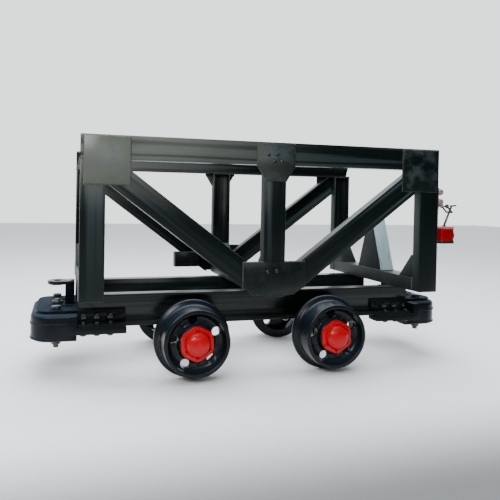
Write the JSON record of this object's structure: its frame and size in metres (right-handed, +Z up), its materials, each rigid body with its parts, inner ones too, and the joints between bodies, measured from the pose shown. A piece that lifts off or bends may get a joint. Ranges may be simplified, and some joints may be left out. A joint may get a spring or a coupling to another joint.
{
  "type": "mine cart",
  "caption": "Open truss-sided mine supply cart on cast wheels with red bearing caps, end buffers with coupling pins, A-shaped stanchions and a tail lamp.",
  "frame": {"origin": "under the middle of the cart, level with the bottom of the wheel flanges", "axes": "+X along the track towards the end with the tail lamp, +Y across the track, +Z up"},
  "size_m": [2.06, 0.88, 1.051],
  "materials": {
    "frame_paint": "gloss black paint over rolled steel, slightly green",
    "buffer_paint": "gloss black paint over a rough casting",
    "wheel_paint": "gloss black paint over a turned casting",
    "cap_paint": "gloss red enamel",
    "cap_bolt_paint": "gloss red enamel over bolt heads",
    "bolt_steel": "black paint worn to steel on the corners",
    "pin_steel": "dark worn steel",
    "axle_steel": "oiled turned steel",
    "bearing_steel": "ground steel",
    "lamp_fittings": "weathered zinc-plated steel",
    "lamp_paint": "semi-gloss red",
    "lamp_glass": "red moulded glass"
  },
  "bodies": {
    "frame": {"near_top_chord": "frame_paint", "near_left_post": "frame_paint", "near_right_post": "frame_paint", "near_mid_post": "frame_paint", "near_left_diagonal": "frame_paint", "near_right_diagonal": "frame_paint", "near_gussets": "frame_paint", "near_longitudinal": "frame_paint", "far_top_chord": "frame_paint", "far_left_post": "frame_paint", "far_right_post": "frame_paint", "far_mid_post": "frame_paint", "far_left_diagonal": "frame_paint", "far_right_diagonal": "frame_paint", "far_gussets": "frame_paint", "far_longitudinal": "frame_paint", "left_bearer": "frame_paint", "centre_bearer": "frame_paint", "right_bearer": "frame_paint", "bearer_braces": "frame_paint", "far_side_box": "frame_paint", "left_stanchion": "frame_paint", "right_stanchion": "frame_paint", "axle_seats": "frame_paint", "left_pin_keeper": "frame_paint", "right_pin_keeper": "frame_paint", "left_buffer": "buffer_paint", "right_buffer": "buffer_paint", "left_buffer_cover": "buffer_paint", "right_buffer_cover": "buffer_paint", "buffer_bolts": "bolt_steel", "tail_bolts": "bolt_steel", "seat_bolts": "bolt_steel", "axle_nuts": "bolt_steel", "left_axle": "axle_steel", "right_axle": "axle_steel", "bearing_inners": "bearing_steel", "lamp_bracket": "lamp_fittings", "lamp_knobs": "lamp_fittings"},
    "near_left_wheel_set": {"near_left_wheel": "wheel_paint", "near_left_hub_cap": "cap_paint", "near_left_cap_bolts": "cap_bolt_paint", "near_left_bearing_outers": "bearing_steel"},
    "near_right_wheel_set": {"near_right_wheel": "wheel_paint", "near_right_hub_cap": "cap_paint", "near_right_cap_bolts": "cap_bolt_paint", "near_right_bearing_outers": "bearing_steel"},
    "far_left_wheel_set": {"far_left_wheel": "wheel_paint", "far_left_hub_cap": "cap_paint", "far_left_cap_bolts": "cap_bolt_paint", "far_left_bearing_outers": "bearing_steel"},
    "far_right_wheel_set": {"far_right_wheel": "wheel_paint", "far_right_hub_cap": "cap_paint", "far_right_cap_bolts": "cap_bolt_paint", "far_right_bearing_outers": "bearing_steel"},
    "left_pin": {"left_coupling_pin": "pin_steel"},
    "right_pin": {"right_coupling_pin": "pin_steel"},
    "lamp": {"lamp_bail": "lamp_fittings", "lamp_body": "lamp_paint", "lamp_lens": "lamp_glass"}
  },
  "joints": [
    {"name": "near_left_wheel_spin", "type": "hinge", "parent": "frame", "child": "near_left_wheel_set", "pos_m": [-0.33, -0.34, 0.175], "axis": [0, 1, 0], "continuous": true},
    {"name": "near_right_wheel_spin", "type": "hinge", "parent": "frame", "child": "near_right_wheel_set", "pos_m": [0.33, -0.34, 0.175], "axis": [0, 1, 0], "continuous": true},
    {"name": "far_left_wheel_spin", "type": "hinge", "parent": "frame", "child": "far_left_wheel_set", "pos_m": [-0.33, 0.34, 0.175], "axis": [0, 1, 0], "continuous": true},
    {"name": "far_right_wheel_spin", "type": "hinge", "parent": "frame", "child": "far_right_wheel_set", "pos_m": [0.33, 0.34, 0.175], "axis": [0, 1, 0], "continuous": true},
    {"name": "left_pin_lift", "type": "slide", "parent": "frame", "child": "left_pin", "axis": [0, 0, 1], "range_m": [0, 0.08]},
    {"name": "right_pin_lift", "type": "slide", "parent": "frame", "child": "right_pin", "axis": [0, 0, 1], "range_m": [0, 0.08]},
    {"name": "lamp_swing", "type": "hinge", "parent": "frame", "child": "lamp", "pos_m": [0.884, -0.408, 0.784], "axis": [0, -1, 0], "range_deg": [-4, 60]}
  ]
}
